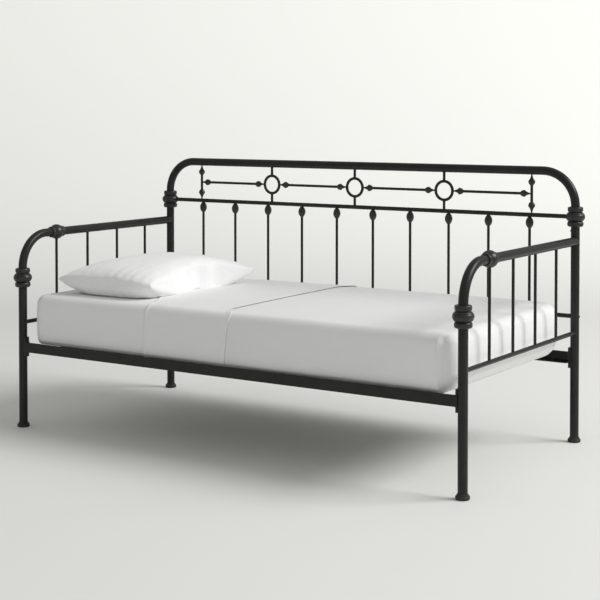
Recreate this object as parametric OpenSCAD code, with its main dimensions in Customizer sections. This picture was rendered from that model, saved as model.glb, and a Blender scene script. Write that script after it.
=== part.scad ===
// Daybed: a tubular steel frame with cast knuckles, a spindle back with rings,
// two arms, a slatted deck, a mattress, its bedding and a pillow.
// X runs along the bed, the front faces -Y, Z is up, and the floor is z = 0.

/* [Frame] */
// Distance between the leg centres along the bed
bed_l = 1980; // [1700:10:2400]
// Distance between the front and back leg centres
bed_d = 965; // [800:5:1200]
// Height of the centre of the top rail
top_rail_z = 1049; // [980:1:1300]
// Height of the centre of the rail that the back spindles hang from
mid_rail_z = 874; // [840:1:960]
// Height of the centre of the lower back rail
low_rail_z = 488.5; // [450:0.5:600]
// Height of the centre of the arm rails
arm_rail_z = 779; // [720:1:830]
// Height of the centre of the lower arm rails
arm_low_z = 425; // [390:1:500]
// Height of the centre of the knuckles on the front legs
front_knuckle_z = 607; // [520:1:620]

/* [Tubes and rods] */
// Diameter of legs, posts, arms and top rail
tube_d = 34; // [28:0.5:45]
// Wall of the large tubes
tube_wall = 1.6; // [1:0.1:3]
// Diameter of the middle and lower back rails
rail_d = 17; // [14:0.5:22]
// Diameter of the lower arm rails
arm_low_d = 16.5; // [14:0.5:22]
// Wall of the small rails
rail_wall = 1.4; // [1:0.1:2]
// Diameter of the spindles and decorative rods
rod_d = 11; // [8:0.5:13]
// Centreline radius of the bends of the top rail
top_bend_r = 135; // [100:1:160]
// Centreline radius of the arm bends
arm_bend_r = 133; // [80:1:133]

/* [Back panel] */
// Number of back spindles
spindle_n = 10; // [4:1:12]
// From the post centre to the first back spindle
spindle_end_gap = 190.4; // [120:0.1:260]
// Distance from the post centre to the end rod beside the rings
end_rod_gap = 182; // [170:1:240]
// Centreline radius of the rings
ring_r = 38; // [30:0.5:45]
// Diameter of the ring bar
ring_bar_d = 12; // [8:0.5:14]

/* [Castings] */
// Height of a knuckle
knuckle_h = 77; // [60:1:90]
// Diameter of the ball in the middle of a knuckle
knuckle_d = 74; // [62:1:90]
// Diameter of the upper bead of a knuckle
upper_bead_d = 59; // [50:1:70]
// Diameter of the lower bead of a knuckle
lower_bead_d = 62; // [50:1:70]
// Diameter of the ball on an arm
arm_ball_d = 61; // [52:1:75]
// Length of the ball on an arm, collars included
arm_ball_l = 73; // [60:1:90]
// Diameter of the collars of that ball
arm_collar_d = 45; // [40:1:50]
// Length of an almond casting below its rail
almond_l = 44; // [35:1:60]
// Largest diameter of an almond casting
almond_d = 31; // [22:1:36]
// Length of an arrowhead casting
arrow_l = 42; // [34:1:48]
// Largest diameter of an arrowhead casting
arrow_d = 28; // [20:1:34]
// Diameter of an arrowhead's tip
arrow_tip_d = 6; // [4:0.5:9]

/* [Arms] */
// From the front leg centre to the arm ball and the first arm spindle
arm_first_gap = 199.5; // [180:0.5:240]
// From the last arm spindle to the back post centre
arm_last_gap = 186.8; // [120:0.1:240]
// Number of spindles in an arm
arm_spindle_n = 4; // [2:1:6]

/* [Deck] */
// Height of the side rails
side_rail_h = 40; // [30:1:60]
// Width of a side rail's inward flange
side_rail_flange = 40; // [30:1:60]
// Thickness of the side rail steel
side_rail_t = 3; // [2:0.5:5]
// Height of the underside of the side rails
side_rail_z = 307; // [250:1:340]
// Distance from the leg centre out to a side rail's outer face
side_rail_out = 14; // [13:0.5:16]
// Height of a rail bracket
bracket_h = 79; // [60:1:100]
// Thickness of a rail bracket, from the leg inwards
bracket_t = 6; // [4:0.5:12]
// Number of slats
slat_n = 12; // [6:1:15]
// Width of a slat
slat_w = 50; // [40:1:70]
// Height of a slat
slat_h = 28; // [20:1:40]
// Wall of a slat
slat_wall = 1.5; // [1:0.1:3]
// Distance from a leg centre to the middle of the first slat
slat_first = 200; // [80:1:260]
// Gap between the end of a slat and the upright of its side rail
slat_clear = 3; // [1:0.5:8]
// Shank diameter of the rivets and bolts
bolt_d = 6; // [4:0.5:8]

/* [Feet] */
// Diameter of a foot
foot_d = 49.5; // [44:0.5:60]
// Height of the wide part of a foot
foot_h = 14; // [10:1:20]
// Thickness of the foot under the leg
foot_sole = 4; // [3:0.5:8]

/* [Bedding] */
// Thickness of the mattress
mattress_h = 203.2; // [150:0.1:250]
// Gap between the mattress and an arm tube at each end
mattress_end_gap = 25; // [20:1:60]
// Gap between the mattress and the lower back rail
mattress_back_gap = 7; // [5.5:0.5:40]
// Distance from the front leg centres back to the mattress
mattress_front_gap = 7.5; // [5:0.5:40]
// Radius of the mattress corners seen from above
mattress_corner_r = 52; // [30:1:90]
// Radius of the mattress edges
mattress_edge_r = 32; // [15:1:60]
// Thickness of the coverlet
coverlet_t = 4; // [2:0.5:5]
// Thickness of the folded top sheet
sheet_t = 2; // [1:0.5:4]
// Distance from the left end of the mattress to the folded sheet
sheet_start = 588; // [560:1:800]
// Width of the folded sheet that shows
sheet_fold = 352; // [100:1:500]
// Pillow width along the bed
pillow_w = 490; // [350:5:600]
// Pillow length across the bed
pillow_l = 710; // [500:5:800]
// Pillow thickness at its crown
pillow_h = 140; // [90:1:180]
// Gap between the left end of the mattress and the pillow
pillow_gap = 68; // [20:1:80]
// How far the pillow lies in front of the bed's centre line
pillow_forward = 47; // [0:1:60]

/* [Hidden] */
$fn = 48;
// Gap left between pieces that lift off each other
rest_gap = 0.3;
// How far a coped tube stops short of the axis of a tube of its own size
cope_stop = 2;

tube_r = tube_d / 2;
rod_r = rod_d / 2;
leg_x = bed_l / 2;
leg_y = bed_d / 2;
knuckle_half = knuckle_h / 2;
// The middle rail runs into the balls of the back knuckles
back_knuckle_z = mid_rail_z;
// Top of the knuckle's lower bead and bottom of its upper bead, from its middle
lower_bead_top = -0.22 * knuckle_h;
upper_bead_low = 0.24 * knuckle_h;
// Radius of the arc that makes a knuckle's ball
knuckle_arc_r = knuckle_d / 2 - tube_r;
// Arc that makes the side of an almond casting, and its radius at the spindle
almond_mid = almond_l / 2;
almond_low_r = rod_r + 0.5;
almond_arc_r = ((almond_d / 2 - almond_low_r) ^ 2 + almond_mid ^ 2) / (almond_d - 2 * almond_low_r);
// Length of the rounded back of an arrowhead, which is also its socket
arrow_back = 0.4 * arrow_l;
arrow_back_r = rod_r + 1;
arrow_arc_r = ((arrow_d / 2 - arrow_back_r) ^ 2 + arrow_back ^ 2) / (arrow_d - 2 * arrow_back_r);
// Radius of the hollow flank of an arrowhead
arrow_flank_r = 40;

arm_ball_y = -leg_y + arm_first_gap;
arm_spindle_pitch = (bed_d - arm_first_gap - arm_last_gap) / (arm_spindle_n - 1);
arm_spindle_ys = [for (i = [0 : arm_spindle_n - 1]) arm_ball_y + i * arm_spindle_pitch];
spindle_pitch = (bed_l - 2 * spindle_end_gap) / (spindle_n - 1);
spindle_xs = [for (i = [0 : spindle_n - 1]) -leg_x + spindle_end_gap + i * spindle_pitch];

ring_out = ring_r + ring_bar_d / 2;
end_rod_x = leg_x - end_rod_gap;
// The four level rods are equally long, between the rings and the end rods
level_rod_l = (end_rod_x - rod_r - 3 * ring_out) / 2;
ring_pitch = level_rod_l + 2 * ring_out;
ring_xs = [-ring_pitch, 0, ring_pitch];
band_low = mid_rail_z + rail_d / 2;
band_high = top_rail_z - tube_r;
ring_z = (band_low + band_high) / 2;
// Left end of each level rod, where its arrowhead touches a ring or an end rod
level_rod_xs = [-end_rod_x + rod_r, -ring_pitch + ring_out, ring_out, ring_pitch + ring_out];

side_rail_mid = side_rail_z + side_rail_h / 2;
rail_inner = side_rail_out - side_rail_t;
bracket_x = leg_x - tube_r - bracket_t;
bracket_half_w = rail_inner - 0.5;
slat_z = side_rail_z + side_rail_t;
deck_z = slat_z + slat_h;
slat_pitch = (bed_l - 2 * slat_first) / (slat_n - 1);
slat_xs = [for (i = [0 : slat_n - 1]) -leg_x + slat_first + i * slat_pitch];
slat_half_l = leg_y + rail_inner - slat_clear;
rivet_y = leg_y + rail_inner - side_rail_flange / 2;
// Heights of the two bolts in each rail bracket
bracket_bolt_zs = [side_rail_mid - 8, side_rail_mid + 10];
bolt_head_d = 1.7 * bolt_d;
bolt_head_h = 0.6 * bolt_d;
// Low round heads of the bolts and screws in the back posts
dome_d = 2 * bolt_d;
dome_h = 3.4;
// Length of the threaded plug in each end of the lower back rail
rail_plug_l = 18;

// Height of the screw below each back knuckle
post_screw_z = back_knuckle_z - knuckle_half - 16;

mattress_z = deck_z + rest_gap;
mattress_x = leg_x - tube_r - mattress_end_gap;
mattress_y0 = -leg_y + mattress_front_gap;
mattress_y1 = leg_y - rail_d / 2 - mattress_back_gap;
mattress_top = mattress_z + mattress_h;
sheet_x0 = -mattress_x + sheet_start;
coverlet_x0 = sheet_x0 + sheet_fold;
pillow_x = -mattress_x + pillow_gap + pillow_w / 2;
pillow_z = mattress_top + rest_gap;
// Height of the pillow's edge above its underside, as a share of its thickness
pillow_seam = 0.36;
pillow_cells_x = 12;
pillow_cells_y = 16;

metal_color = [0.13, 0.12, 0.11];
steel_color = [0.2, 0.2, 0.2];
foot_color = [0.07, 0.07, 0.07];
linen_color = [0.93, 0.93, 0.92];

// ---- Helpers ----

// A round tube or rod standing on z = 0
module tube(d, h, wall = 0) {
    difference() {
        cylinder(d = d, h = h);
        if (wall > 0) {
            translate([0, 0, -1])
                cylinder(d = d - 2 * wall, h = h + 2);
        }
    }
}

// A quarter bend in the XZ plane: up at the origin, then over towards +X
module quarter_bend(r, d, wall) {
    translate([r, 0, 0])
        rotate([90, 0, 180])
            mirror([0, 0, 1])
                rotate_extrude(angle = 90)
                    translate([r, 0])
                        difference() {
                            circle(d = d);
                            circle(d = d - 2 * wall);
                        }
}

// The space that an upright tube of the frame takes, for coping
module upright(x, y) {
    translate([x, y, 0])
        cylinder(d = tube_d, h = top_rail_z);
}

// The space that a rail along X takes, for coping
module rail_space(d, z) {
    translate([-leg_x, leg_y, z])
        rotate([0, 90, 0])
            cylinder(d = d, h = bed_l);
}

// The space that a rail along Y takes, for coping
module arm_space(d, side, z) {
    translate([side * leg_x, -leg_y, z])
        rotate([-90, 0, 0])
            cylinder(d = d, h = bed_d);
}

// Half outline of a rounded bead: out to x, between z0 and z1
module bead(x, z0, z1, r) {
    translate([0, z0])
        square([x - r, z1 - z0]);
    translate([0, z0 + r])
        square([x, z1 - z0 - 2 * r]);
    for (z = [z0 + r, z1 - r]) {
        translate([x - r, z])
            circle(r = r);
    }
}

// The part of a half outline that lies between radii r0 and r1
module outline_between(r0, r1, z0, z1) {
    intersection() {
        children();
        translate([r0, z0])
            square([r1 - r0, z1 - z0]);
    }
}

// A bar ring standing in the XZ plane at x
module ring_bar(x) {
    translate([x, leg_y, ring_z])
        rotate([90, 0, 0])
            rotate_extrude()
                translate([ring_r, 0])
                    circle(d = ring_bar_d);
}

// A mattress-shaped solid, grown by g on its top and sides
module mattress_form(g) {
    l = 2 * (mattress_x + g);
    w = mattress_y1 - mattress_y0 + 2 * g;
    h = mattress_h + g;
    translate([0, (mattress_y0 + mattress_y1) / 2, mattress_z]) {
        intersection() {
            linear_extrude(h)
                rounded_square(l, w, mattress_corner_r + g);
            translate([-l / 2, 0, h / 2])
                rotate([90, 0, 90])
                    linear_extrude(l)
                        rounded_square(w, h, mattress_edge_r + g);
            translate([0, w / 2, h / 2])
                rotate([90, 0, 0])
                    linear_extrude(w)
                        rounded_square(l, h, mattress_edge_r + g);
        }
    }
}

// A centred rectangle with round corners
module rounded_square(l, w, r) {
    square([l - 2 * r, w], center = true);
    square([l, w - 2 * r], center = true);
    for (x = [-1, 1], y = [-1, 1]) {
        translate([x * (l / 2 - r), y * (w / 2 - r)])
            circle(r = r);
    }
}

// ---- Back panel ----

// Drilled through for the panel bolt, and through its inner wall for the screw
module back_post(side) {
    color(metal_color)
        mirror([side > 0 ? 1 : 0, 0, 0])
            difference() {
                translate([-leg_x, leg_y, foot_sole])
                    tube(tube_d, back_knuckle_z - foot_sole, tube_wall);
                translate([-leg_x - tube_d, leg_y, low_rail_z])
                    rotate([0, 90, 0])
                        cylinder(d = bolt_d, h = 2 * tube_d);
                translate([-leg_x, leg_y, post_screw_z])
                    rotate([0, 90, 0])
                        cylinder(d = bolt_d, h = tube_d);
            }
}

// One bent tube from knuckle to knuckle
module top_arch() {
    bend_z = top_rail_z - top_bend_r;
    straight = leg_x - top_bend_r;
    color(metal_color)
        translate([0, leg_y, 0]) {
            for (side = [-1, 1]) {
                translate([side * leg_x, 0, back_knuckle_z])
                    tube(tube_d, bend_z - back_knuckle_z, tube_wall);
                translate([side * leg_x, 0, bend_z])
                    mirror([side > 0 ? 1 : 0, 0, 0])
                        quarter_bend(top_bend_r, tube_d, tube_wall);
            }
            translate([-straight, 0, top_rail_z])
                rotate([0, 90, 0])
                    tube(tube_d, 2 * straight, tube_wall);
        }
}

// A turned casting: a ball between two beads, with a groove above and below the middle rail's hole
module knuckle() {
    groove_r = 1.5;
    groove_z = rail_d / 2 + groove_r + 1;
    groove_x = tube_r + sqrt(knuckle_arc_r ^ 2 - groove_z ^ 2);
    rotate_extrude()
        outline_between(tube_r, knuckle_d, -knuckle_half, knuckle_half)
            difference() {
                union() {
                    translate([tube_r, 0])
                        circle(r = knuckle_arc_r);
                    translate([0, -knuckle_half + 4])
                        square([lower_bead_d / 2 - 5, knuckle_h - 8]);
                    bead(upper_bead_d / 2, upper_bead_low, knuckle_half, 6);
                    bead(lower_bead_d / 2, -knuckle_half, lower_bead_top, 8);
                }
                for (z = [-groove_z, groove_z]) {
                    translate([groove_x, z])
                        circle(r = groove_r);
                }
            }
}

module back_knuckle(side) {
    color(metal_color)
        mirror([side > 0 ? 1 : 0, 0, 0])
            difference() {
                translate([-leg_x, leg_y, back_knuckle_z])
                    knuckle();
                rail_space(rail_d, mid_rail_z);
            }
}

module mid_rail() {
    color(metal_color)
        difference() {
            translate([-leg_x, leg_y, mid_rail_z])
                rotate([0, 90, 0])
                    tube(rail_d, bed_l, rail_wall);
            upright(-leg_x, leg_y);
            upright(leg_x, leg_y);
        }
}

// A tube with a threaded plug in each end for the panel bolts
module lower_back_rail() {
    bore_start = tube_r + rail_plug_l;
    color(metal_color)
        difference() {
            rail_space(rail_d, low_rail_z);
            translate([-leg_x + bore_start, leg_y, low_rail_z])
                rotate([0, 90, 0])
                    cylinder(d = rail_d - 2 * rail_wall, h = bed_l - 2 * bore_start);
            rail_space(bolt_d, low_rail_z);
            upright(-leg_x, leg_y);
            upright(leg_x, leg_y);
        }
}

// Spindle number i from the left, counted from 1
module back_spindle(i) {
    color(metal_color)
        difference() {
            translate([spindle_xs[i - 1], leg_y, low_rail_z])
                cylinder(d = rod_d, h = mid_rail_z - low_rail_z);
            rail_space(rail_d, low_rail_z);
            rail_space(rail_d, mid_rail_z);
        }
}

// Almond castings that cap the spindles under the rail
module almond_castings() {
    top = mid_rail_z - rail_d / 2;
    color(metal_color)
        for (x = spindle_xs) {
            difference() {
                translate([x, leg_y, top])
                    rotate_extrude()
                        outline_between(rod_r, almond_d, -almond_l, rail_d / 4)
                            translate([almond_d / 2 - almond_arc_r, -almond_mid])
                                circle(r = almond_arc_r);
                rail_space(rail_d, mid_rail_z);
            }
        }
}

// ---- Band of rings under the top rail ----

module ring(i) {
    color(metal_color)
        ring_bar(ring_xs[i]);
}

module ring_stubs() {
    color(metal_color)
        for (x = ring_xs) {
            difference() {
                translate([x, leg_y, ring_z + ring_r])
                    cylinder(d = rod_d, h = top_rail_z - ring_z - ring_r);
                ring_bar(x);
                rail_space(tube_d, top_rail_z);
            }
            difference() {
                translate([x, leg_y, mid_rail_z])
                    cylinder(d = rod_d, h = ring_z - ring_r - mid_rail_z);
                ring_bar(x);
                rail_space(rail_d, mid_rail_z);
            }
        }
}

// Level rod number i, whose ends sit in the sockets of its arrowheads
module level_rod(i) {
    inset = arrow_l - arrow_back;
    color(metal_color)
        translate([level_rod_xs[i] + inset, leg_y, ring_z])
            rotate([0, 90, 0])
                cylinder(d = rod_d, h = level_rod_l - 2 * inset);
}

module end_rod(side) {
    inset = arrow_l - arrow_back;
    color(metal_color)
        translate([side * end_rod_x, leg_y, band_low + inset])
            cylinder(d = rod_d, h = band_high - band_low - 2 * inset);
}

// Centre of the arc of radius r through p and q, on the side away from the axis
function flank_centre(p, q, r) =
    let (
        mid = (p + q) / 2,
        half = norm(q - p) / 2,
        across = [q[1] - p[1], p[0] - q[0]] / norm(q - p)
    )
    mid + across * sqrt(r ^ 2 - half ^ 2);

// An arrowhead pointing along +Z, its tip at the origin; the tip runs on to meet what it touches
module arrowhead() {
    shoulder = [arrow_d / 2, -arrow_l + arrow_back];
    tip = [arrow_tip_d / 2, 0];
    flank = flank_centre(shoulder, tip, arrow_flank_r);
    rotate_extrude()
        difference() {
            union() {
                outline_between(0, arrow_d, -arrow_l, shoulder[1])
                    translate([arrow_d / 2 - arrow_arc_r, shoulder[1]])
                        circle(r = arrow_arc_r);
                difference() {
                    translate([0, shoulder[1]])
                        square([arrow_d / 2, arrow_l - arrow_back]);
                    translate(flank)
                        circle(r = arrow_flank_r);
                }
                square([arrow_tip_d / 2, rod_r]);
            }
            translate([0, -arrow_l - 1])
                square([rod_r, arrow_back + 1]);
        }
}

module arrowheads() {
    color(metal_color) {
        for (i = [0 : 3]) {
            x0 = level_rod_xs[i];
            difference() {
                union() {
                    translate([x0, leg_y, ring_z])
                        rotate([0, -90, 0])
                            arrowhead();
                    translate([x0 + level_rod_l, leg_y, ring_z])
                        rotate([0, 90, 0])
                            arrowhead();
                }
                for (x = ring_xs) {
                    if (abs(x - x0 - level_rod_l / 2) < level_rod_l) ring_bar(x);
                }
                for (side = [-1, 1]) {
                    translate([side * end_rod_x, leg_y, band_low])
                        cylinder(d = rod_d, h = band_high - band_low);
                }
            }
        }
        for (side = [-1, 1]) {
            difference() {
                translate([side * end_rod_x, leg_y, band_high])
                    arrowhead();
                rail_space(tube_d, top_rail_z);
            }
            difference() {
                translate([side * end_rod_x, leg_y, band_low])
                    rotate([180, 0, 0])
                        arrowhead();
                rail_space(rail_d, mid_rail_z);
            }
        }
    }
}

// ---- Arms ----

module front_leg(side) {
    color(metal_color)
        translate([side * leg_x, -leg_y, foot_sole])
            tube(tube_d, front_knuckle_z - foot_sole, tube_wall);
}

module front_knuckle(side) {
    color(metal_color)
        translate([side * leg_x, -leg_y, front_knuckle_z])
            knuckle();
}

// From the front knuckle up and over to the arm ball
module arm_bend(side) {
    bend_z = arm_rail_z - arm_bend_r;
    color(metal_color)
        translate([side * leg_x, -leg_y, 0]) {
            translate([0, 0, front_knuckle_z])
                tube(tube_d, bend_z - front_knuckle_z, tube_wall);
            translate([0, 0, bend_z])
                rotate([0, 0, 90])
                    quarter_bend(arm_bend_r, tube_d, tube_wall);
            translate([0, arm_bend_r, arm_rail_z])
                rotate([-90, 0, 0])
                    tube(tube_d, arm_first_gap - arm_bend_r, tube_wall);
        }
}

module arm_ball(side) {
    half = arm_ball_l / 2;
    collar_l = 0.22 * arm_ball_l;
    color(metal_color)
        translate([side * leg_x, arm_ball_y, arm_rail_z])
            rotate([-90, 0, 0])
                rotate_extrude()
                    outline_between(tube_r, arm_ball_d, -half, half) {
                        union() {
                            circle(d = arm_ball_d);
                            bead(arm_collar_d / 2, -half, -half + collar_l, 4);
                            bead(arm_collar_d / 2, half - collar_l, half, 4);
                        }
                    }
}

module arm_rail(side) {
    color(metal_color)
        difference() {
            translate([side * leg_x, arm_ball_y, arm_rail_z])
                rotate([-90, 0, 0])
                    tube(tube_d, leg_y - arm_ball_y - cope_stop, tube_wall);
            upright(side * leg_x, leg_y);
        }
}

module lower_arm_rail(side) {
    color(metal_color)
        difference() {
            translate([side * leg_x, -leg_y, arm_low_z])
                rotate([-90, 0, 0])
                    tube(arm_low_d, bed_d, rail_wall);
            upright(side * leg_x, -leg_y);
            upright(side * leg_x, leg_y);
        }
}

// The first spindle ends at the arm ball, the others at the arm rail
module arm_spindles(side) {
    color(metal_color)
        for (i = [0 : arm_spindle_n - 1]) {
            difference() {
                translate([side * leg_x, arm_spindle_ys[i], arm_low_z])
                    cylinder(d = rod_d, h = arm_rail_z - arm_low_z);
                arm_space(arm_low_d, side, arm_low_z);
                if (i == 0) {
                    translate([side * leg_x, arm_ball_y, arm_rail_z])
                        sphere(d = arm_ball_d);
                } else {
                    arm_space(tube_d, side, arm_rail_z);
                }
            }
        }
}

// ---- Deck ----

// An angle rail for the front, with end tabs that meet the brackets
module side_rail() {
    end_x = leg_x - sqrt(tube_r ^ 2 - rail_inner ^ 2) - 1.5;
    tab_x = bracket_x - side_rail_t;
    y_out = -leg_y - side_rail_out;
    difference() {
        union() {
            translate([-end_x, y_out, side_rail_z])
                cube([2 * end_x, side_rail_t, side_rail_h]);
            translate([-bracket_x, y_out, side_rail_z])
                cube([2 * bracket_x, side_rail_flange, side_rail_t]);
            for (side = [-1, 1]) {
                translate([side > 0 ? tab_x : -bracket_x, y_out, side_rail_z])
                    cube([side_rail_t, side_rail_out + bracket_half_w, side_rail_h]);
            }
        }
        for (x = slat_xs) {
            translate([x, -rivet_y, side_rail_z - 1])
                cylinder(d = bolt_d, h = side_rail_t + 2);
        }
        bracket_bolt_holes();
    }
}

// Holes along X for the front bracket bolts
module bracket_bolt_holes() {
    for (z = bracket_bolt_zs) {
        translate([-leg_x, -leg_y, z])
            rotate([0, 90, 0])
                cylinder(d = bolt_d, h = bed_l);
    }
}

module side_rail_front() {
    color(metal_color)
        side_rail();
}

module side_rail_back() {
    color(metal_color)
        mirror([0, 1, 0])
            side_rail();
}

// Plates welded to the inner sides of the legs, coped to the tubes
module rail_brackets() {
    color(metal_color)
        for (x = [0, 1], y = [0, 1]) {
            mirror([x, 0, 0])
                mirror([0, y, 0])
                    difference() {
                        translate([bracket_x, -leg_y - bracket_half_w, side_rail_mid - bracket_h / 2])
                            cube([leg_x - bracket_x, 2 * bracket_half_w, bracket_h]);
                        upright(leg_x, -leg_y);
                        bracket_bolt_holes();
                    }
        }
}

// Hex bolts from the rail's end tab into the bracket
module bracket_bolts() {
    color(steel_color)
        for (x = [0, 1], y = [0, 1], z = bracket_bolt_zs) {
            mirror([x, 0, 0])
                mirror([0, y, 0])
                    translate([bracket_x - side_rail_t, -leg_y, z])
                        rotate([0, 90, 0]) {
                            cylinder(d = bolt_d, h = side_rail_t + bracket_t);
                            translate([0, 0, -bolt_head_h])
                                cylinder(d = bolt_head_d, h = bolt_head_h, $fn = 6);
                        }
        }
}

module slats() {
    color(steel_color)
        for (x = slat_xs) {
            difference() {
                translate([x - slat_w / 2, -slat_half_l, slat_z])
                    cube([slat_w, 2 * slat_half_l, slat_h]);
                translate([x - slat_w / 2 + slat_wall, -slat_half_l - 1, slat_z + slat_wall])
                    cube([slat_w - 2 * slat_wall, 2 * slat_half_l + 2, slat_h - 2 * slat_wall]);
                for (side = [-1, 1]) {
                    translate([x, side * rivet_y, side_rail_z])
                        cylinder(d = bolt_d, h = side_rail_t + slat_wall + 1);
                }
            }
        }
}

// Rivets that hold the slats down on the side rails
module slat_rivets() {
    head_h = 0.4 * bolt_d;
    color(steel_color)
        for (x = slat_xs, side = [-1, 1]) {
            translate([x, side * rivet_y, side_rail_z]) {
                translate([0, 0, -head_h])
                    cylinder(d1 = bolt_d, d2 = bolt_head_d, h = head_h);
                cylinder(d = bolt_d, h = side_rail_t + slat_wall);
                translate([0, 0, side_rail_t + slat_wall])
                    cylinder(d1 = bolt_head_d, d2 = bolt_d, h = head_h);
            }
        }
}

// Bolts through the back posts into the plugs of the lower back rail
module panel_bolts() {
    color(metal_color)
        for (side = [-1, 1]) {
            translate([side * leg_x, leg_y, low_rail_z])
                rotate([0, side * 90, 0])
                    dome_screw(2 * tube_r + rail_plug_l);
        }
}

// Screws in the inner walls of the back posts, below the knuckles
module post_screws() {
    color(metal_color)
        for (side = [-1, 1]) {
            translate([side * leg_x, leg_y, post_screw_z])
                rotate([0, -side * 90, 0])
                    dome_screw(3 * tube_wall);
        }
}

// A screw whose low round head sits on an upright tube of the frame, its shank reaching
// the given depth below the tube's surface
module dome_screw(depth) {
    ball_r = (dome_h ^ 2 + (dome_d / 2) ^ 2) / (2 * dome_h);
    difference() {
        union() {
            intersection() {
                translate([0, 0, tube_r + dome_h - ball_r])
                    sphere(r = ball_r);
                translate([0, 0, tube_r])
                    cylinder(d = dome_d, h = dome_h + 1);
            }
            translate([0, 0, tube_r - 2])
                cylinder(d = dome_d, h = 2);
        }
        rotate([0, 90, 0])
            translate([0, 0, -dome_d])
                cylinder(d = tube_d, h = 2 * dome_d);
    }
    translate([0, 0, tube_r - depth])
        cylinder(d = bolt_d, h = depth + dome_h / 2);
}

// ---- Feet ----

module feet() {
    color(foot_color)
        for (x = [-1, 1], y = [-1, 1]) {
            translate([x * leg_x, y * leg_y, 0])
                rotate_extrude()
                    difference() {
                        union() {
                            bead(foot_d / 2, 0, foot_h, 5);
                            bead(tube_r + 3, foot_h / 2, foot_h + 5, 2);
                        }
                        translate([0, foot_sole])
                            square([tube_r, foot_h + 5]);
                    }
        }
}

// ---- Bedding ----

module mattress() {
    color(linen_color)
        mattress_form(0);
}

// Layer of thickness t over the mattress between x0 and x1
module bedding_layer(t, x0, x1) {
    intersection() {
        difference() {
            mattress_form(t);
            mattress_form(0);
        }
        translate([x0, -bed_d, mattress_z + mattress_edge_r])
            cube([x1 - x0, 2 * bed_d, mattress_h]);
    }
}

module top_sheet() {
    color(linen_color)
        bedding_layer(sheet_t, sheet_x0, coverlet_x0);
}

module coverlet() {
    color(linen_color)
        bedding_layer(coverlet_t, coverlet_x0, mattress_x + coverlet_t + 1);
}

// Fullness of the pillow at u, v, each from -1 to 1: 1 in the middle, 0 at the seam
function pillow_full(u, v) = sqrt((1 - abs(u) ^ 2.6) * (1 - abs(v) ^ 3.2));

// The outline pulls in a little between the corners
function pillow_point(i, j) =
    let (
        u = 2 * i / pillow_cells_x - 1,
        v = 2 * j / pillow_cells_y - 1,
        pull_u = 1 - 0.05 * (1 - v ^ 2),
        pull_v = 1 - 0.04 * (1 - u ^ 2)
    )
    [u * pull_u * pillow_w / 2, v * pull_v * pillow_l / 2, pillow_full(u, v)];

// One face of the pillow, whose rim has the small thickness of its seam
function pillow_face(seam, crown, floor_z) = [
    for (j = [0 : pillow_cells_y], i = [0 : pillow_cells_x])
        let (p = pillow_point(i, j))
        [p[0], p[1], max(floor_z, seam + crown * p[2])]
];

module pillow() {
    seam_half = 2;
    seam_z = pillow_seam * pillow_h;
    row = pillow_cells_x + 1;
    count = row * (pillow_cells_y + 1);
    top = pillow_face(seam_z + seam_half, pillow_h - seam_z - seam_half, 0);
    low = pillow_face(seam_z - seam_half, -2.2 * seam_z, 0);
    rim = concat(
        [for (i = [0 : pillow_cells_x - 1]) i],
        [for (j = [0 : pillow_cells_y - 1]) j * row + pillow_cells_x],
        [for (i = [pillow_cells_x : -1 : 1]) pillow_cells_y * row + i],
        [for (j = [pillow_cells_y : -1 : 1]) j * row]
    );
    faces = concat(
        [for (j = [0 : pillow_cells_y - 1], i = [0 : pillow_cells_x - 1])
            let (a = j * row + i) each [[a, a + row, a + row + 1], [a, a + row + 1, a + 1]]],
        [for (j = [0 : pillow_cells_y - 1], i = [0 : pillow_cells_x - 1])
            let (a = count + j * row + i) each [[a, a + row + 1, a + row], [a, a + 1, a + row + 1]]],
        [for (k = [0 : len(rim) - 1])
            let (a = rim[k], b = rim[(k + 1) % len(rim)]) each [[a, b, count + b], [a, count + b, count + a]]]
    );
    color(linen_color)
        translate([pillow_x, -pillow_forward, pillow_z])
            polyhedron(points = concat(top, low), faces = faces);
}

back_post(-1);  // back_post_left
back_post(1);  // back_post_right
top_arch();
back_knuckle(-1);  // back_knuckle_left
back_knuckle(1);  // back_knuckle_right
mid_rail();
lower_back_rail();
for (i = [1 : spindle_n])
    back_spindle(i);
almond_castings();
ring(0);  // ring_left
ring(1);  // ring_middle
ring(2);  // ring_right
ring_stubs();
level_rod(0);  // level_rod_1
level_rod(1);  // level_rod_2
level_rod(2);  // level_rod_3
level_rod(3);  // level_rod_4
end_rod(-1);  // end_rod_left
end_rod(1);  // end_rod_right
arrowheads();
front_leg(-1);  // front_leg_left
front_leg(1);  // front_leg_right
front_knuckle(-1);  // front_knuckle_left
front_knuckle(1);  // front_knuckle_right
arm_bend(-1);  // arm_bend_left
arm_bend(1);  // arm_bend_right
arm_ball(-1);  // arm_ball_left
arm_ball(1);  // arm_ball_right
arm_rail(-1);  // arm_rail_left
arm_rail(1);  // arm_rail_right
lower_arm_rail(-1);  // lower_arm_rail_left
lower_arm_rail(1);  // lower_arm_rail_right
arm_spindles(-1);  // arm_spindles_left
arm_spindles(1);  // arm_spindles_right
side_rail_front();
side_rail_back();
rail_brackets();
bracket_bolts();
slats();
slat_rivets();
panel_bolts();
post_screws();
feet();
mattress();
top_sheet();
coverlet();
pillow();
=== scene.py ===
"""A daybed: a powder-coated steel frame, its mattress, bedding and pillow, on a studio sweep.

Metres. X runs along the bed, the front faces -Y, Z is up, and the floor is z = 0.
"""

import math

import bpy
import numpy as np
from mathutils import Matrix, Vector, noise


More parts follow.
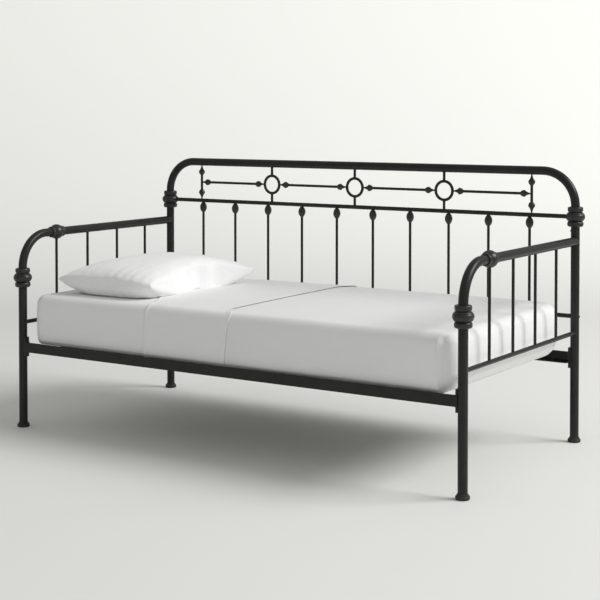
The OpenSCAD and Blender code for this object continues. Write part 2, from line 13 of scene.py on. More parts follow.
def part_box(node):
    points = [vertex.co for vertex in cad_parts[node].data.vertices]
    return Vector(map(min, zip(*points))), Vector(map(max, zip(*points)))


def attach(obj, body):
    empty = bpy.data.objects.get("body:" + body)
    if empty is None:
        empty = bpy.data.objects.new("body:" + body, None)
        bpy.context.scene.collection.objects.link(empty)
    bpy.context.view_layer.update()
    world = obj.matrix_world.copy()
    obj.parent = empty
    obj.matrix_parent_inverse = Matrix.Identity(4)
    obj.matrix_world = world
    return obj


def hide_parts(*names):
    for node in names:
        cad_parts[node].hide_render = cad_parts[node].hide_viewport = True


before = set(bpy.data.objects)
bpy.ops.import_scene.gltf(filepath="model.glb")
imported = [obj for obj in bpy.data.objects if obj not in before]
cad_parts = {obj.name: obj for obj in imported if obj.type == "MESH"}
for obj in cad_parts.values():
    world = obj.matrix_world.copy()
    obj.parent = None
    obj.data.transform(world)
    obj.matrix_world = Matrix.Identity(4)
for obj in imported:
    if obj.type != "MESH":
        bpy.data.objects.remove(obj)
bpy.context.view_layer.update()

MM = 0.001


# ---- Shader arithmetic ----


class Tone:
    """A socket of one finish. Arithmetic on it adds Math nodes to that finish."""

    def __init__(self, finish, socket):
        self.finish = finish
        self.socket = socket

    def _math(self, operation, *values):
        return self.finish.node("ShaderNodeMath", {"operation": operation}, dict(enumerate(values)))

    def __add__(self, other):
        return self._math("ADD", self, other)

    def __sub__(self, other):
        return self._math("SUBTRACT", self, other)

    def __mul__(self, other):
        return self._math("MULTIPLY", self, other)

    __radd__ = __add__
    __rmul__ = __mul__

    def sine(self):
        return self._math("SINE", self)

    def size(self):
        return self._math("ABSOLUTE", self)


class Finish:
    """A material made of nodes. Every node comes from node()."""

    def __init__(self, name):
        self.material = bpy.data.materials.new(name)
        self.material.use_nodes = True
        self.tree = self.material.node_tree
        self.tree.nodes.clear()

    def node(self, kind, settings=None, inputs=None, output=0):
        made = self.tree.nodes.new(kind)
        for key, value in (settings or {}).items():
            if key == "stops":
                self._set_stops(made.color_ramp, value)
            else:
                setattr(made, key, value)
        for key, value in (inputs or {}).items():
            if isinstance(value, Tone):
                self.tree.links.new(value.socket, made.inputs[key])
            else:
                made.inputs[key].default_value = value
        return Tone(self, made.outputs[output]) if made.outputs else None

    @staticmethod
    def _set_stops(ramp, stops):
        while len(ramp.elements) < len(stops):
            ramp.elements.new(0.5)
        for element, (place, color) in zip(ramp.elements, stops):
            element.position = place
            element.color = color

    def place(self):
        return self.node("ShaderNodeTexCoord", output="Object")

    def grain(self, scale, detail=3.0, roughness=0.5, stretch=(1, 1, 1)):
        """Noise from 0 to 1, in features per metre."""
        spread = self.node(
            "ShaderNodeVectorMath", {"operation": "MULTIPLY"}, {0: self.place(), 1: stretch}
        )
        return self.node(
            "ShaderNodeTexNoise",
            {},
            {"Vector": spread, "Scale": scale, "Detail": detail, "Roughness": roughness},
        )

    def axes(self):
        """The object's x, y and z as three tones."""
        split = self.node("ShaderNodeSeparateXYZ", {}, {0: self.place()})
        outputs = split.socket.node.outputs
        return [Tone(self, outputs[i]) for i in range(3)]

    def mix(self, share, first, second):
        return self.node(
            "ShaderNodeMix",
            {"data_type": "RGBA"},
            {0: share, 6: first, 7: second},
            output=2,
        )

    def ramp(self, share, *stops):
        return self.node("ShaderNodeValToRGB", {"stops": stops}, {0: share})

    def between(self, tone, low, high):
        """0 below the low value, 1 above the high one, smooth in between."""
        return self.node(
            "ShaderNodeMapRange",
            {"interpolation_type": "SMOOTHSTEP"},
            {0: tone, 1: low, 2: high, 3: 0.0, 4: 1.0},
        )

    def bump(self, height, distance, strength=1.0, under=None):
        inputs = {"Height": height, "Distance": distance, "Strength": strength}
        if under is not None:
            inputs["Normal"] = under
        return self.node("ShaderNodeBump", {}, inputs)

    def surface(self, **settings):
        """Ends the finish in a Principled shader; names are its sockets', with _ for spaces."""
        named = {key.replace("_", " "): value for key, value in settings.items()}
        shader = self.node("ShaderNodeBsdfPrincipled", {}, named)
        self.node("ShaderNodeOutputMaterial", {}, {"Surface": shader})
        return self.material


def gray(value):
    return (value, value, value, 1.0)


# ---- Finishes ----

# Distance between the dimples of the mattress's quilting
QUILT_PITCH = 60 * MM
# Distances from the middle at which the sweep's glow begins and is full, and its height
GLOW_NEAR, GLOW_FAR, GLOW_TOP = 3.4, 6.6, 2.4


def powder_coat(name, color, roughness, peel, blotch=0.25):
    """Satin powder coat: a fine orange peel and a faint unevenness of tone."""
    finish = Finish(name)
    cloudy = finish.grain(14, detail=4)
    dusty = finish.grain(900, detail=2)
    light = tuple(channel * (1 + blotch) for channel in color) + (1,)
    dark = tuple(channel * (1 - blotch) for channel in color) + (1,)
    tint = finish.ramp(cloudy, (0.3, dark), (0.72, light))
    dusted = finish.mix(dusty * 0.2, tint, gray(0.03))
    ripples = finish.bump(finish.grain(380, detail=2), peel)
    grainy = finish.bump(dusty, peel * 0.3, under=ripples)
    return finish.surface(
        Base_Color=dusted,
        Roughness=cloudy * 0.12 + dusty * 0.08 + (roughness - 0.1),
        Specular_IOR_Level=0.26,
        Normal=grainy,
    )


def cast_iron_coat(name, color, roughness):
    """The same coat over sand-cast iron: a little lumpy, and rubbed on its high spots."""
    finish = Finish(name)
    lumpy = finish.grain(160, detail=5, roughness=0.6)
    cloudy = finish.grain(30, detail=3)
    dusty = finish.grain(900, detail=2)
    light = tuple(channel * 1.7 for channel in color) + (1,)
    dark = tuple(channel * 0.6 for channel in color) + (1,)
    tint = finish.ramp(lumpy * 0.6 + cloudy * 0.4, (0.35, dark), (0.68, light))
    cast_skin = finish.bump(lumpy, 0.5 * MM, 0.7)
    grainy = finish.bump(dusty, 0.05 * MM, under=cast_skin)
    return finish.surface(
        Base_Color=tint,
        Roughness=lumpy * 0.18 + (roughness - 0.09),
        Specular_IOR_Level=0.5,
        Normal=grainy,
    )


def rubber(name):
    finish = Finish(name)
    pitted = finish.grain(700, detail=3)
    scuffed = finish.grain(60, detail=4)
    return finish.surface(
        Base_Color=finish.ramp(scuffed, (0.35, gray(0.014)), (0.75, gray(0.03))),
        Roughness=pitted * 0.2 + 0.55,
        Normal=finish.bump(pitted, 0.15 * MM),
    )


def cotton(name, color, thread, weave_depth, crease_depth, crease_scale, roughness=0.85):
    """Woven cotton: threads along every axis of the bed, slubs, and soft creases."""
    finish = Finish(name)
    turn = math.tau / thread
    wavy = finish.grain(25, detail=2) * (thread * 2)
    waves = [((axis + wavy) * turn).sine() for axis in finish.axes()]
    weave = waves[0] + waves[1] + waves[2]
    slubs = finish.grain(650, detail=2, stretch=(1, 0.25, 1))
    creases = finish.grain(crease_scale, detail=4, roughness=0.45)
    light = tuple(color) + (1,)
    shade = tuple(channel * 0.93 for channel in color) + (1,)
    tint = finish.mix(weave * 0.06 + slubs * 0.5, light, shade)
    soft = finish.bump(creases, crease_depth, 0.8)
    threads = finish.bump(weave * 0.5 + slubs, weave_depth, 0.6, under=soft)
    return finish.surface(
        Base_Color=tint,
        Roughness=slubs * 0.1 + (roughness - 0.05),
        Sheen_Weight=0.12,
        Sheen_Roughness=0.5,
        Specular_IOR_Level=0.25,
        Normal=threads,
    )


def ticking(name):
    """Mattress cover: a white knit with a quilted dimple pattern."""
    finish = Finish(name)
    x, y, _ = finish.axes()
    pitch = math.tau / QUILT_PITCH
    quilt = ((x + y) * pitch).sine() * ((x - y) * pitch).sine()
    knit = finish.grain(500, detail=2, stretch=(1, 0.4, 1))
    padded = finish.bump(quilt.size(), 2 * MM, 0.5)
    return finish.surface(
        Base_Color=finish.mix(knit * 0.5, (0.80, 0.79, 0.76, 1), (0.68, 0.67, 0.64, 1)),
        Roughness=knit * 0.1 + 0.8,
        Normal=finish.bump(knit, 0.3 * MM, 0.6, under=padded),
    )


def sweep_paint(name):
    """The studio sweep, a matte warm white. The glow stands for the lights that wash its wall."""
    finish = Finish(name)
    x, y, z = finish.axes()
    cloudy = finish.grain(0.8, detail=2)
    distance = finish.node(
        "ShaderNodeVectorMath", {"operation": "LENGTH"}, {0: finish.place()}, output="Value"
    )
    far = finish.between(distance, GLOW_NEAR, GLOW_FAR)
    high = finish.between(z, 0.0, GLOW_TOP)
    glow = far * (x * 0.023 + y * 0.015 + 0.19) + high * 0.07
    return finish.surface(
        Base_Color=finish.mix(cloudy * 0.1, (0.87, 0.878, 0.84, 1), (0.85, 0.858, 0.82, 1)),
        Roughness=cloudy * 0.1 + 0.75,
        Specular_IOR_Level=0.2,
        Emission_Color=finish.mix(glow, gray(0.0), (1.0, 1.005, 0.965, 1)),
        Emission_Strength=1.0,
    )


FRAME_COLOR = (0.0178, 0.0172, 0.0150)
frame_coat = powder_coat("frame powder coat", FRAME_COLOR, 0.34, 0.10 * MM)
casting_coat = cast_iron_coat("casting powder coat", FRAME_COLOR, 0.34)
deck_coat = powder_coat("deck powder coat", (0.014, 0.0134, 0.0125), 0.5, 0.08 * MM)
bolt_coat = powder_coat("bolt coat", (0.022, 0.021, 0.019), 0.34, 0.05 * MM)
foot_rubber = rubber("foot rubber")
white = (0.89, 0.89, 0.89)
fitted_cotton = cotton("fitted sheet percale", white, 0.5 * MM, 0.04 * MM, 1.2 * MM, 14)
sheet_cotton = cotton("top sheet percale", white, 0.5 * MM, 0.04 * MM, 1.0 * MM, 12)
coverlet_cotton = cotton("coverlet cotton", white, 0.9 * MM, 0.08 * MM, 1.5 * MM, 10)
pillow_cotton = cotton("pillowcase percale", (0.95, 0.95, 0.95), 0.5 * MM, 0.04 * MM, 5 * MM, 24)
mattress_ticking = ticking("mattress ticking")

CASTINGS = ("knuckle", "arm_ball", "almond", "arrowheads")
FASTENERS = ("slat_rivets", "bracket_bolts", "panel_bolts", "post_screws")


def coat_for(node):
    if node == "feet":
        return foot_rubber
    if node in FASTENERS:
        return bolt_coat
    if node == "slats":
        return deck_coat
    if any(word in node for word in CASTINGS):
        return casting_coat
    return frame_coat


for name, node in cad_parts.items():
    node.data.materials.clear()
    node.data.materials.append(coat_for(name))


# ---- The shape that the bedding follows ----

# Where the fold of the coverlet's mitred corners stands, from the middle of the bed
PLEAT_X = 897 * MM
# Round corners as seen from above
FRONT_CORNER_R = 54 * MM
BACK_CORNER_R = 105 * MM
# Round edges of the top, and of the underside along the sides and the ends
EDGE_R = 34 * MM
LOWER_SIDE_R = 15 * MM
LOWER_LEFT_END_R = 18 * MM
LOWER_RIGHT_END_R = 58 * MM
# How far the plain form stands in from its box, which leaves room for the swelling
BODY_INSET = 3.5 * MM


def smooth_step(value, start, end):
    share = np.clip((np.asarray(value, float) - start) / (end - start), 0, 1)
    return share * share * (3 - 2 * share)


def hump(value, middle, width):
    """A rounded ridge of height 1."""
    return np.exp(-(((np.asarray(value, float) - middle) / width) ** 2))


def soft_noise(places, scale, shift=(0, 0, 0)):
    """Smooth noise from -1 to 1 at each place, with about that many features per metre."""
    return np.array([noise.noise(Vector(place) * scale + Vector(shift)) for place in places])


def off_underside(outward):
    """1 on the top and the sides, and 0 where the cloth is pressed flat underneath."""
    return smooth_step(outward[:, 2], -1.0, -0.5)


class Form:
    """A box with round corners and edges, and the soft unevenness of a mattress."""

    def __init__(self, low, high):
        self.middle = np.array((low + high) / 2)
        self.half = np.array((high - low) / 2)

    def wrap(self, sharp):
        """Takes points on the sharp box's faces to the round one; gives places and outward ways."""
        reach = np.abs(sharp)
        sign = np.where(sharp < 0, -1.0, 1.0)
        corner_r = np.where(sharp[:, 1:2] < 0, FRONT_CORNER_R, BACK_CORNER_R)
        inner = self.half[:2] - corner_r
        share = np.clip((reach[:, :2] - inner) / corner_r, 0, 1)
        round_share = share * np.sqrt(1 - share[:, ::-1] ** 2 / 2)
        plan = np.minimum(reach[:, :2], inner) + corner_r * round_share
        gap = self.half[:2] - reach[:, :2]
        in_corner = (share > 0).all(axis=1)
        arc = np.hypot(round_share[:, 0], round_share[:, 1])
        nearer_end = (gap[:, 0] < gap[:, 1]).astype(float)
        way = np.stack([nearer_end, 1 - nearer_end], axis=1)
        way[in_corner] = round_share[in_corner] / arc[in_corner, None]
        from_side = np.where(in_corner, corner_r[:, 0] * (1 - arc), gap.min(axis=1))
        from_top = self.half[2] - reach[:, 2]
        end_r = np.where(sharp[:, 0] < 0, LOWER_LEFT_END_R, LOWER_RIGHT_END_R)
        lower_r = LOWER_SIDE_R + (end_r - LOWER_SIDE_R) * smooth_step(way[:, 0], 0, 1)
        edge_r = np.where(sharp[:, 2] > 0, EDGE_R, lower_r)
        turn = math.pi / 4 * np.clip(1 + (from_side - from_top) / edge_r, 0, 2)
        rounding = (turn > 0) & (turn < math.pi / 2)
        inset = np.where(rounding, edge_r * (1 - np.cos(turn)), from_side)
        drop = np.where(rounding, edge_r * (1 - np.sin(turn)), from_top)
        plan = plan + way * (from_side - inset)[:, None]
        places = np.column_stack([plan, self.half[2] - drop]) * sign
        outward = np.column_stack([way * np.cos(turn)[:, None], np.sin(turn)]) * sign
        return places, outward

    def swell(self, places, outward):
        """How far the soft body stands out of the plain form, the same for every layer on it."""
        along = places / self.half
        from_rim = (1 - along[:, 0] ** 4) * (1 - along[:, 1] ** 4)
        crown = 3.0 * MM * from_rim * np.maximum(outward[:, 2], 0)
        bulge = 5.0 * MM * (1 - along[:, 2] ** 2) * (1 - np.abs(outward[:, 2]))
        uneven = soft_noise(places, 3.1) * 2.2 * MM
        small = soft_noise(places, 8.3, (5, 1, 2)) * 0.7 * MM
        soft = crown + bulge + uneven + small - self.corner_dents(places, outward) - BODY_INSET
        return soft * off_underside(outward)

    def corner_dents(self, places, outward):
        """Where the bedding's mitred corners press in, at the right end of both long sides."""
        side = np.abs(outward[:, 1])
        groove = 8 * MM * hump(places[:, 0], PLEAT_X + 17 * MM, 13 * MM) * side
        pocket = 7 * MM * hump(places[:, 0], PLEAT_X + 15 * MM, 13 * MM)
        pocket = pocket * hump(places[:, 2], self.half[2] - 16 * MM, 14 * MM) * side
        return groove * (1 - smooth_step(places[:, 2], 0.6 * self.half[2], self.half[2])) + pocket

    def lay(self, sharp, offset):
        """Places of points that lie above the soft form.

        The offset is a number, or a function of the outward ways.
        """
        places, outward = self.wrap(sharp)
        if callable(offset):
            offset = offset(outward)
        rise = self.swell(places, outward) + offset
        return places + outward * rise[:, None] + self.middle


def stations(start, end, coarse, *zones):
    """Places from start to end, closer together in zones of (middle, half width, step)."""
    places = [start]
    while places[-1] < end:
        step = coarse
        for middle, half_width, fine in zones:
            away = max(0.0, abs(places[-1] - middle) - half_width)
            step = min(step, fine + 0.25 * away)
        places.append(places[-1] + step)
    stretch = (end - start) / (places[-1] - start)
    return [start + (place - start) * stretch for place in places]


def box_faces(xs, ys, zs, faces, tuck=None):
    """Points and quads of a box's faces, one of each shared point.

    Faces are named by axis and side, such as "+z". A tuck keeps only that much of the
    underside along its edges.
    """
    half = [abs(ys[0]), abs(zs[0])]
    right, left = xs[-1], xs[0]
    index, points, quads = {}, [], []

    def point(x, y, z):
        key = (round(x, 6), round(y, 6), round(z, 6))
        if key not in index:
            index[key] = len(points)
            points.append((x, y, z))
        return index[key]

    def add(rows, columns, place, outward):
        for r0, r1 in zip(rows, rows[1:]):
            for c0, c1 in zip(columns, columns[1:]):
                corners = [place(r0, c0), place(r1, c0), place(r1, c1), place(r0, c1)]
                if tuck is not None and all(corner[2] == -half[1] for corner in corners):
                    x = (corners[0][0] + corners[2][0]) / 2
                    y = (corners[0][1] + corners[2][1]) / 2
                    from_end = right - x if "-x" not in faces else min(right - x, x - left)
                    from_end = from_end if "+x" in faces else math.inf
                    if min(from_end, half[0] - abs(y)) > tuck:
                        continue
                ids = [point(*corner) for corner in corners]
                quads.append(ids if outward else ids[::-1])

    builders = {
        "+z": (xs, ys, lambda x, y: (x, y, half[1]), True),
        "-z": (xs, ys, lambda x, y: (x, y, -half[1]), False),
        "-y": (xs, zs, lambda x, z: (x, -half[0], z), True),
        "+y": (xs, zs, lambda x, z: (x, half[0], z), False),
        "+x": (ys, zs, lambda y, z: (right, y, z), True),
        "-x": (ys, zs, lambda y, z: (left, y, z), False),
    }
    for face in faces:
        add(*builders[face])
    return np.array(points), quads


def mesh_object(name, places, quads, material):
    data = bpy.data.meshes.new(name)
    data.from_pydata([tuple(place) for place in places], [], quads)
    data.update()
    data.materials.append(material)
    data.shade_smooth()
    made = bpy.data.objects.new(name, data)
    bpy.context.scene.collection.objects.link(made)
    return made


def apply_modifiers(made):
    graph = bpy.context.evaluated_depsgraph_get()
    data = bpy.data.meshes.new_from_object(made.evaluated_get(graph))
    old = made.data
    made.modifiers.clear()
    made.data = data
    bpy.data.meshes.remove(old)
    data.name = made.name
    data.shade_smooth()
    return made


def thicken(made, thickness):
    """Closes a single surface into cloth of that thickness, below the surface it had."""
    solid = made.modifiers.new("thickness", "SOLIDIFY")
    solid.thickness = thickness
    solid.offset = -1
    return apply_modifiers(made)


# ---- Mattress, fitted sheet, top sheet and coverlet ----

# Room for the tucked cloth under the mattress, and for the fitted sheet over it
TUCK_ROOM = 3.5 * MM
TOP_ROOM = 1.0 * MM
# How far every cloth is tucked under
TUCK = 150 * MM
SHEET_T = 1.0 * MM
TOP_SHEET_T = 1.6 * SHEET_T
COVERLET_T = 2.0 * MM
# Air between two layers of cloth, and between the mattress's cover and the fitted sheet
LAYER_GAP = 0.4 * MM
COVER_INSET = 1.2 * MM

mattress_low, mattress_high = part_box("mattress")
form = Form(
    mattress_low + Vector((0, 0, TUCK_ROOM)), mattress_high - Vector((0, 0, TOP_ROOM))
)
half_l, half_w, half_h = form.half

edge_zones_y = ((-half_w, LOWER_SIDE_R, 3 * MM), (half_w, LOWER_SIDE_R, 3 * MM))
edge_zones_z = ((-half_h, LOWER_SIDE_R, 3 * MM), (half_h, EDGE_R, 5 * MM))
end_zones = ((-half_l, FRONT_CORNER_R, 5 * MM), (half_l, FRONT_CORNER_R, 5 * MM))
ys = stations(-half_w, half_w, 14 * MM, *edge_zones_y)
zs = stations(-half_h, half_h, 9 * MM, *edge_zones_z)
ALL_FACES = ("+z", "-z", "-y", "+y", "+x", "-x")


def make_mattress():
    xs = stations(-half_l, half_l, 16 * MM, *end_zones)
    sharp, quads = box_faces(xs, ys, zs, ALL_FACES)
    return mesh_object("mattress_core", form.lay(sharp, -COVER_INSET), quads, mattress_ticking)


def make_fitted_sheet():
    xs = stations(-half_l, half_l, 14 * MM, *end_zones)
    sharp, quads = box_faces(xs, ys, zs, ALL_FACES, tuck=TUCK)
    places = form.lay(sharp, SHEET_T)
    made = mesh_object("fitted_sheet", places, quads, fitted_cotton)
    return thicken(made, SHEET_T)


# The top sheet's band lies over the coverlet's edge, which runs on under it
COVERED = 36 * MM
sheet_low, sheet_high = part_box("top_sheet")
sheet_x = sheet_low.x
hem_x = sheet_high.x - 6 * MM
coverlet_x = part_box("coverlet")[0].x - COVERED
# How far along X the cloth is drawn with the band's two edges
FOLD_REACH = 280 * MM
HEM_REACH = 200 * MM


def cloth_waves(places, scale, along=1.0):
    """Soft waves in a cloth; more along gives shorter waves in X."""
    return soft_noise(places * (along, 1, 1) + (0, 0, 0.7), scale)


def sheet_place(sharp):
    """Moves the two edges of the top sheet's band along X.

    Its fold runs back under the pillow's edge, and leans a little in front. Its hem is straight
    on top and hangs to the right on the sides.
    """
    lean = (half_h - sharp[:, 2]) / (2 * half_h)
    back = smooth_step(sharp[:, 1], -0.99 * half_w, -0.42 * half_w)
    fold_shift = -105 * MM * back - 9 * MM * lean * (sharp[:, 1] < 0)
    over_side = smooth_step(np.abs(sharp[:, 1]), 0.80 * half_w, half_w)
    hem_shift = (50 * MM - 24 * MM * lean) * over_side
    moved = sharp.copy()
    moved[:, 0] += fold_shift * (1 - smooth_step(sharp[:, 0], sheet_x, sheet_x + FOLD_REACH))
    moved[:, 0] += hem_shift * smooth_step(sharp[:, 0], hem_x - HEM_REACH, hem_x)
    return moved


def sheet_lift(sharp, moved, outward):
    """How far the top sheet lies above the form, from before and after its edges are moved."""
    from_fold = sharp[:, 0] - sheet_x
    from_hem = hem_x - sharp[:, 0]
    upward = np.maximum(outward[:, 2], 0)
    roll = (3.0 - 1.2 * upward) * MM * hump(from_fold, 6 * MM, 7 * MM)
    step_up = smooth_step(moved[:, 0], coverlet_x - 70 * MM, coverlet_x - 4 * MM)
    over_coverlet = (COVERLET_T + 0.5 * MM) * step_up
    # The hem stands off the coverlet a little, more on top than on the sides
    hem = (0.4 + 3.0 * upward**2) * MM * np.exp(-from_hem / (16 * MM))
    stitches = 0.5 * MM * hump(from_hem, 24 * MM, 3 * MM)
    slack = 0.7 * MM * (1 + cloth_waves(sharp, 3, along=3)) * smooth_step(from_fold, 0, 60 * MM)
    slack = slack * smooth_step(from_hem, 40 * MM, 100 * MM) * off_underside(outward)
    rest = SHEET_T + LAYER_GAP + TOP_SHEET_T
    return rest + roll + over_coverlet + hem - stitches + slack


def make_top_sheet():
    zones = ((sheet_x, 26 * MM, 3 * MM), (hem_x, 34 * MM, 3 * MM))
    xs = stations(sheet_x, hem_x, 14 * MM, *zones)
    sharp, quads = box_faces(xs, ys, zs, ("+z", "-z", "-y", "+y"), tuck=TUCK)
    moved = sheet_place(sharp)
    placed = form.lay(moved, lambda outward: sheet_lift(sharp, moved, outward))
    made = mesh_object("top_sheet_cloth", placed, quads, sheet_cotton)
    return thicken(made, TOP_SHEET_T)


# Soft vertical folds in the coverlet's end: place across the bed, width and depth
END_FOLDS = (
    (-0.335, 0.060, 1.6 * MM),
    (-0.145, 0.065, 1.6 * MM),
    (0.075, 0.070, 1.4 * MM),
    (0.240, 0.060, 1.2 * MM),
)


def coverlet_lift(places, outward):
    """How far the coverlet lies above the form: its mitred corners, its folded end, its slack."""
    side = np.abs(outward[:, 1])
    gap = places[:, 0] - PLEAT_X
    over = 3.6 * MM * np.exp(gap / (70 * MM)) + 1.2 * MM * hump(gap, -4 * MM, 5 * MM)
    under = 3.0 * MM * smooth_step(gap, 14 * MM, 40 * MM)
    flap = np.where(gap < 0, over, under)
    flap = flap * side * (1 - smooth_step(places[:, 2], 0.72 * half_h, half_h))
    end = np.maximum(outward[:, 0], 0)
    valleys = sum(
        depth * hump(places[:, 1] + 0.05 * places[:, 2], y, width)
        for y, width, depth in END_FOLDS
    )
    down = 1 - smooth_step(places[:, 2], -0.2 * half_h, 0.95 * half_h)
    drape = (2.0 * MM - valleys) * end * down
    slack = 0.9 * MM * (1 + cloth_waves(places, 4))
    from_hidden_edge = places[:, 0] - coverlet_x
    slack = slack * smooth_step(from_hidden_edge, 100 * MM, 240 * MM) * off_underside(outward)
    return SHEET_T + LAYER_GAP + COVERLET_T + flap + drape + slack


def make_coverlet():
    zones = ((PLEAT_X + 8 * MM, 24 * MM, 2.5 * MM), (half_l, FRONT_CORNER_R, 5 * MM))
    xs = stations(coverlet_x, half_l, 13 * MM, *zones)
    sharp, quads = box_faces(xs, ys, zs, ("+z", "-z", "-y", "+y", "+x"), tuck=TUCK)
    placed = form.lay(sharp, lambda outward: coverlet_lift(sharp, outward))
    made = mesh_object("coverlet_cloth", placed, quads, coverlet_cotton)
    return thicken(made, COVERLET_T)


# ---- Pillow ----

PILLOW_CUT = (508 * MM, 762 * MM)
PILLOW_CELL = 11 * MM
# Height of the seam, as a share of the pillow's
SEAM_SHARE = 0.42
# How much of the height follows the blown cloth; a plain cushion gives the rest
BLOWN_SHARE = 0.4
# Distance between creases along a seam
CREASE_PITCH = 44 * MM
# How far the front right corner is drawn in, as a share of the half size
CORNER_PULL = 0.09


def pillow_bag(cell):
    """Two flat panels sewn round their rim, a little apart in the middle."""
    nx, ny = (round(side / cell) for side in PILLOW_CUT)
    points, quads, index = [], [], {}
    for face in (1, -1):
        for j in range(ny + 1):
            for i in range(nx + 1):
                u, v = 2 * i / nx - 1, 2 * j / ny - 1
                rim = i in (0, nx) or j in (0, ny)
                key = (i, j, 0 if rim else face)
                if key in index:
                    continue
                index[key] = len(points)
                thick = 0 if rim else face * 22 * MM * (1 - u**2) ** 0.5 * (1 - v**2) ** 0.5
                shrink = 1 - 0.02 * (abs(u) * abs(v)) ** 3
                x, y = u * shrink * PILLOW_CUT[0] / 2, v * shrink * PILLOW_CUT[1] / 2
                points.append((x, y, thick))
        for j in range(ny):
            for i in range(nx):
                ids = []
                for a, b in ((i, j), (i + 1, j), (i + 1, j + 1), (i, j + 1)):
                    rim = a in (0, nx) or b in (0, ny)
                    ids.append(index[(a, b, 0 if rim else face)])
                quads.append(ids if face > 0 else ids[::-1])
    return points, quads


def inflate(bag, frames, pressure):
    """Blows the sewn bag up by cloth simulation and keeps the result."""
    cloth = bag.modifiers.new("cloth", "CLOTH")
    settings = cloth.settings
    settings.quality = 8
    settings.mass = 0.15
    settings.tension_stiffness = 40
    settings.compression_stiffness = 40
    settings.shear_stiffness = 20
    settings.bending_stiffness = 3.0
    settings.air_damping = 2
    settings.use_pressure = True
    settings.uniform_pressure_force = pressure
    settings.effector_weights.gravity = 0
    cloth.collision_settings.use_collision = False
    cloth.point_cache.frame_start = 1
    cloth.point_cache.frame_end = frames
    scene = bpy.context.scene
    for number in range(1, frames + 1):
        scene.frame_set(number)
    # Irons out the pinches that a coarse cloth leaves halfway along its seams
    ironed = bag.modifiers.new("ironed", "SMOOTH")
    ironed.factor = 0.5
    ironed.iterations = 36
    apply_modifiers(bag)
    scene.frame_set(1)


def make_pillow():
    points, quads = pillow_bag(PILLOW_CELL)
    bag = mesh_object("pillow_case", points, quads, pillow_cotton)
    inflate(bag, frames=28, pressure=5.0)
    settle(bag)
    smooth = bag.modifiers.new("smooth", "SUBSURF")
    smooth.levels = 1
    return apply_modifiers(bag)


def creases(along, size):
    """Short soft creases that run in from the pillow's seams, and a few broad ones across it."""
    height = np.zeros(len(along))
    for axis, other, seed, depth in ((0, 1, 1.7, 1.6 * MM), (1, 0, 6.1, 6.0 * MM)):
        inward = (1 - np.abs(along[:, axis])) * size[axis] / 2
        seam_side = np.sign(along[:, axis])
        run = along[:, other] * size[other] / 2
        wander = soft_noise(np.column_stack([run * 14, inward * 6, seed + seam_side]), 1)
        along_seam = np.column_stack([run * 9, seam_side * 3, np.full_like(run, seed + 4)])
        strength = soft_noise(along_seam, 1)
        wave = np.sin(run * math.tau / CREASE_PITCH + 3.0 * wander)
        fade = np.exp(-inward / (55 * MM)) * (1 - np.exp(-inward / (10 * MM)))
        height += depth * wave * fade * np.clip(0.55 + 1.2 * strength, 0, 1.2)
    broad = soft_noise(along * (1.6, 2.3, 0) + (0, 0, 9), 1)
    return height + 6 * MM * broad * (1 - along[:, 0] ** 2) * (1 - along[:, 1] ** 2)


def settle(bag):
    """Fits the blown pillow to its place, flat where it lies."""
    low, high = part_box("pillow")
    size = high - low
    count = len(bag.data.vertices)
    co = np.empty(count * 3)
    bag.data.vertices.foreach_get("co", co)
    co = co.reshape(-1, 3)
    reach = np.abs(co).max(axis=0)
    along = co / reach
    fall = (1 - np.abs(along[:, 0]) ** 2.6) * (1 - np.abs(along[:, 1]) ** 3.2)
    full = np.sqrt(np.clip(fall, 0, 1))
    blown = BLOWN_SHARE
    along[:, 2] = blown * along[:, 2] + (1 - blown) * np.sign(co[:, 2]) * full
    along[:, 2] += creases(along, size) * np.sign(co[:, 2]) / size.z
    seam = SEAM_SHARE * size.z
    up = np.where(along[:, 2] > 0, (size.z - seam) * along[:, 2], 0)
    down = np.where(along[:, 2] < 0, np.maximum(2.0 * seam * along[:, 2], -seam), 0)
    z = seam + up + down
    front_right = np.clip(along[:, 0], 0, 1) ** 3 * np.clip(-along[:, 1], 0, 1) ** 3
    plan = along[:, :2] * (1 - CORNER_PULL * front_right[:, None])
    places = np.column_stack([plan[:, 0] * size.x / 2, plan[:, 1] * size.y / 2, z])
    places += np.array([(low.x + high.x) / 2, (low.y + high.y) / 2, low.z])
    bag.data.vertices.foreach_set("co", places.ravel())
    bag.data.update()


# ---- Stage, lights and camera ----


def lathe(name, profile, material):
    """A surface of revolution about Z through points of (radius, height)."""
    sides = 96
    points = [
        (r * math.cos(math.tau * k / sides), r * math.sin(math.tau * k / sides), z)
        for r, z in profile
        for k in range(sides)
    ]
    quads = []
    for row in range(len(profile) - 1):
        for k in range(sides):
            a, b = row * sides + k, row * sides + (k + 1) % sides
            quads.append((a, a + sides, b + sides, b))
    return mesh_object(name, points, quads, material)


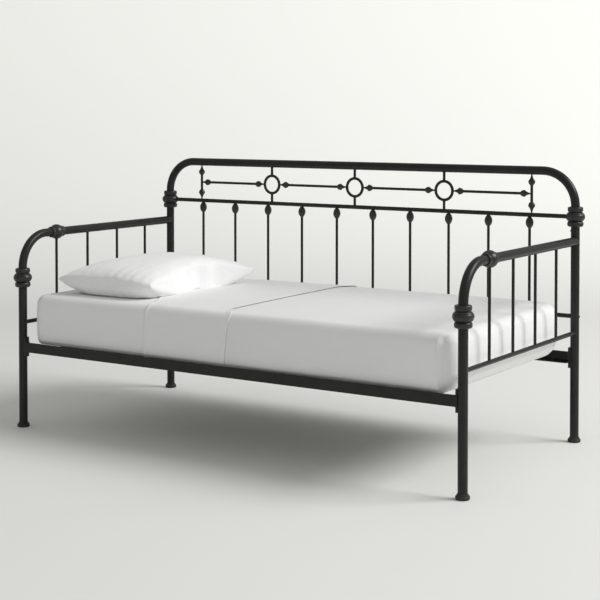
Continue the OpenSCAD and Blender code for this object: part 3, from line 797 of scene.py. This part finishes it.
def make_sweep():
    """A round studio sweep: a floor that curves up into a wall all round."""
    radius, cove, top, steps = 8.5, 4.5, 6.5, 20
    flat = radius - cove
    bend = [
        (flat + cove * math.sin(turn), cove * (1 - math.cos(turn)))
        for turn in (math.pi / 2 * step / steps for step in range(steps + 1))
    ]
    paint = sweep_paint("sweep paint")
    floor = lathe("studio_floor", [(1 * MM, 0.0), (flat / 2, 0.0), (flat, 0.0)], paint)
    wall = lathe("studio_wall", bend + [(radius, top)], paint)
    # The wall is seen, but the bed is lit and mirrored by the studio air alone
    wall.visible_diffuse = False
    wall.visible_glossy = False
    wall.visible_shadow = False


def soft_box(name, place, target, width, height, watts):
    """A rectangular area light, itself unseen."""
    data = bpy.data.lights.new(name, "AREA")
    data.shape = "RECTANGLE"
    data.size, data.size_y = width, height
    data.energy = watts
    light = bpy.data.objects.new(name, data)
    bpy.context.scene.collection.objects.link(light)
    light.location = place
    light.rotation_euler = (Vector(target) - Vector(place)).to_track_quat("-Z", "Y").to_euler()
    light.visible_camera = False


def make_lights():
    soft_box("key", place=(9.2, 3.6, 8.4), target=(0, 0, 0.4), width=7.0, height=5.0, watts=1150)
    world = bpy.data.worlds.new("studio air")
    world.use_nodes = True
    sky = world.node_tree.nodes["Background"]
    sky.inputs["Color"].default_value = (1.0, 1.0, 0.985, 1)
    sky.inputs["Strength"].default_value = 0.42
    bpy.context.scene.world = world


def make_camera():
    data = bpy.data.cameras.new("camera")
    data.lens = 84.97
    data.sensor_width = 36
    data.shift_y = -0.25
    data.clip_end = 60
    camera = bpy.data.objects.new("camera", data)
    bpy.context.scene.collection.objects.link(camera)
    camera.location = (3.0667, -4.6716, 1.2925)
    camera.rotation_euler = (math.radians(88.311), 0, math.radians(32.97))
    bpy.context.scene.camera = camera


make_camera()
make_lights()
make_sweep()
bpy.context.scene.view_settings.view_transform = "Standard"

mattress = make_mattress()
fitted_sheet = make_fitted_sheet()
top_sheet = make_top_sheet()
coverlet = make_coverlet()
pillow = make_pillow()

# ---- What each piece rides on, and the parts it hides ----

for piece in (mattress, fitted_sheet, top_sheet, coverlet):
    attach(piece, "mattress")
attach(pillow, "pillow")
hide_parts("mattress")
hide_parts("top_sheet")
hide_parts("coverlet")
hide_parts("pillow")

drop = 2 * half_h + TUCK
across = 2 * half_w + 2 * drop
fitted_cut = (across, 2 * half_l + 2 * drop)
fitted_cut[0] * fitted_cut[1] - 4 * drop**2
half_l - coverlet_x + drop
